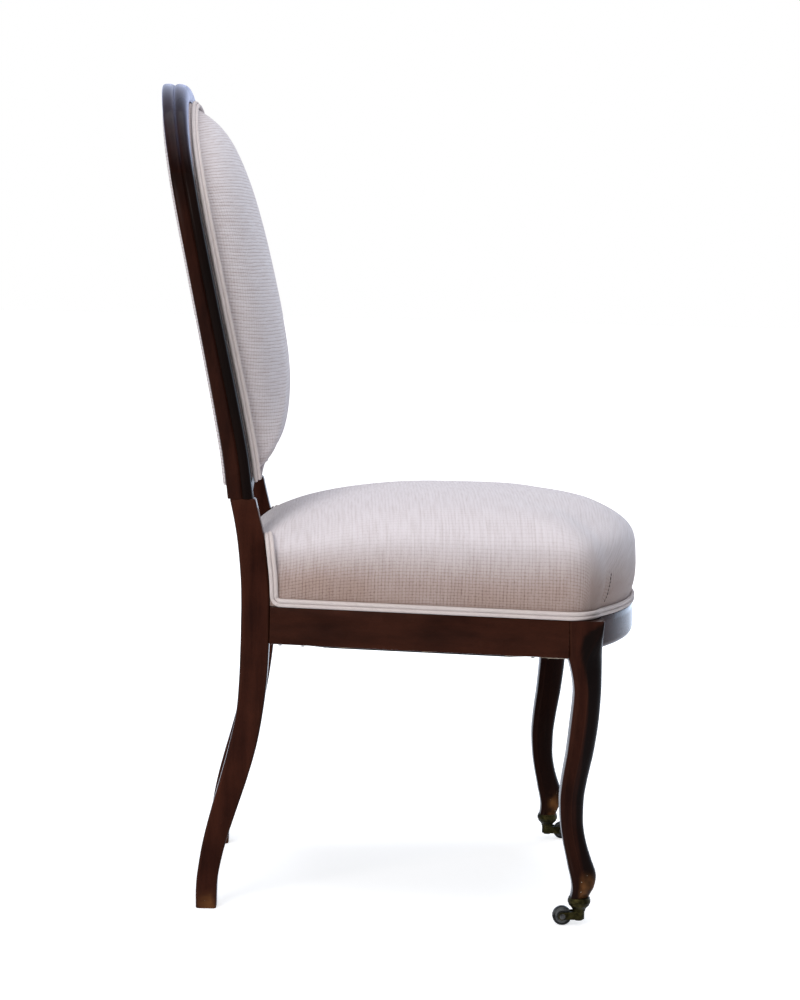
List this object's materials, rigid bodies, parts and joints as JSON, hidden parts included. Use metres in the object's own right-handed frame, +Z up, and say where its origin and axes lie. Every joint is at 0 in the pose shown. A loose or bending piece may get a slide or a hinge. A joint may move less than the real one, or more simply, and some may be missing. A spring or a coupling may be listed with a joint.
{
  "type": "balloon back dining chair",
  "caption": "Balloon back chair with moulded hardwood frame, padded back, sprung seat with double piping, cabriole front legs on brass castors and splayed rear legs.",
  "frame": {"origin": "on the floor, below the middle of the chair's bounding box", "axes": "+Z up, -Y towards the front of the seat, +X towards the sitter's left"},
  "size_m": [0.481, 0.578, 0.948],
  "materials": {
    "mahogany": "polished",
    "beech": "matt",
    "webbing": "woven",
    "canvas": "woven",
    "stuffing": "matted",
    "cover_fabric": "basket weave",
    "piping": "corded",
    "black_cloth": "matt",
    "spring_steel": "dull",
    "pin_steel": "satin",
    "brass": "aged"
  },
  "bodies": {
    "frame": {"back_post_left": "mahogany", "back_post_right": "mahogany", "crest_rail": "mahogany", "crest_dowels": "beech", "lower_back_rail": "mahogany", "back_seat_rail": "beech", "front_seat_rail": "mahogany", "side_rail_left": "mahogany", "side_rail_right": "mahogany", "front_leg_left": "mahogany", "front_leg_right": "mahogany", "corner_blocks": "beech", "seat_webbing_lengthwise": "webbing", "seat_webbing_crosswise": "webbing", "seat_springs": "spring_steel", "spring_canvas": "canvas", "seat_stuffing": "stuffing", "seat_cover": "cover_fabric", "seat_piping": "piping", "bottom_cloth": "black_cloth", "back_webbing": "webbing", "back_canvas": "canvas", "back_stuffing": "stuffing", "back_cover": "cover_fabric", "back_piping": "piping", "outside_back": "cover_fabric", "castor_cup_left": "brass", "castor_cup_right": "brass", "castor_pin_left": "pin_steel", "castor_pin_right": "pin_steel"},
    "castor_fork_left": {"castor_fork_left": "brass", "castor_axle_left": "pin_steel"},
    "castor_wheel_left": {"castor_wheel_left": "brass"},
    "castor_fork_right": {"castor_fork_right": "brass", "castor_axle_right": "pin_steel"},
    "castor_wheel_right": {"castor_wheel_right": "brass"}
  },
  "joints": [
    {"name": "castor_swivel_left", "type": "hinge", "parent": "frame", "child": "castor_fork_left", "pos_m": [0.21673, -0.21025, 0.0118], "axis": [0, 0, 1], "continuous": true},
    {"name": "castor_roll_left", "type": "hinge", "parent": "castor_fork_left", "child": "castor_wheel_left", "pos_m": [0.21673, -0.22925, 0.011], "axis": [1, 0, 0], "continuous": true},
    {"name": "castor_swivel_right", "type": "hinge", "parent": "frame", "child": "castor_fork_right", "pos_m": [-0.21673, -0.21025, 0.0118], "axis": [0, 0, 1], "continuous": true},
    {"name": "castor_roll_right", "type": "hinge", "parent": "castor_fork_right", "child": "castor_wheel_right", "pos_m": [-0.21673, -0.19125, 0.011], "axis": [1, 0, 0], "continuous": true}
  ]
}
